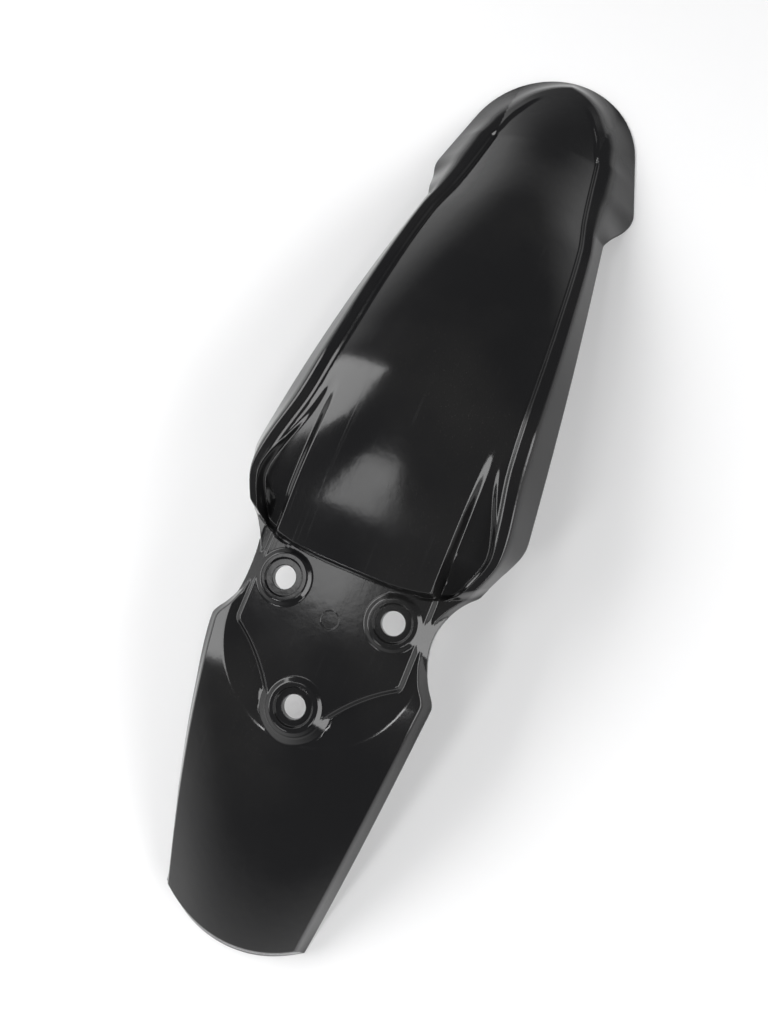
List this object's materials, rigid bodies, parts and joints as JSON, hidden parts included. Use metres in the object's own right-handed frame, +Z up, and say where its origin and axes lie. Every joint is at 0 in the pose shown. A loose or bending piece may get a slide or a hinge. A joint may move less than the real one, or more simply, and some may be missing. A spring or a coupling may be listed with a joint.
{
  "type": "motorcycle front mudguard",
  "caption": "Long moulded motorcycle front mudguard with a raised hood, side wings, a stepped mounting pad and a rounded nose.",
  "frame": {"origin": "midway between the two front mounting holes, on the top of the mounting pad", "axes": "+X towards the nose, +Y towards the rider's left, +Z up, square to the mounting pad"},
  "size_m": [0.753, 0.2136, 0.1014],
  "materials": {
    "shell": "gloss black, moulded in colour, with fine handling scratches"
  },
  "bodies": {
    "root": {"mudguard": "shell"}
  },
  "joints": []
}
